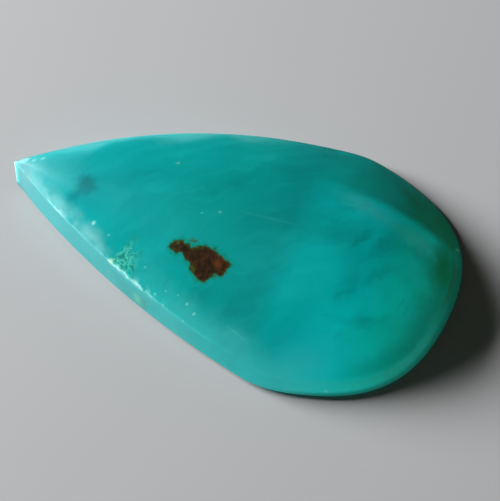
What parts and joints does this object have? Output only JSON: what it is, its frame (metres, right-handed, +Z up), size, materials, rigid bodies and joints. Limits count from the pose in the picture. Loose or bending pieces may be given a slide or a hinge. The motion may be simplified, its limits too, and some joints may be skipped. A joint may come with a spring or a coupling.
{
  "type": "gem silica cabochon",
  "caption": "Polished pear-shaped cabochon of blue-green gem silica with a brown iron inclusion, flat ground base and low dome.",
  "frame": {"origin": "middle of the flat ground base, at the base's height", "axes": "+Z up out of the base, +X from the tip toward the round end, +Y toward the flank that faces away in the picture"},
  "size_m": [0.0298, 0.0176, 0.0055],
  "materials": {
    "gem_silica": "polished, milky translucent blue-green, paler at the tip and olive at the round end"
  },
  "bodies": {
    "root": {"stone": "gem_silica"}
  },
  "joints": []
}
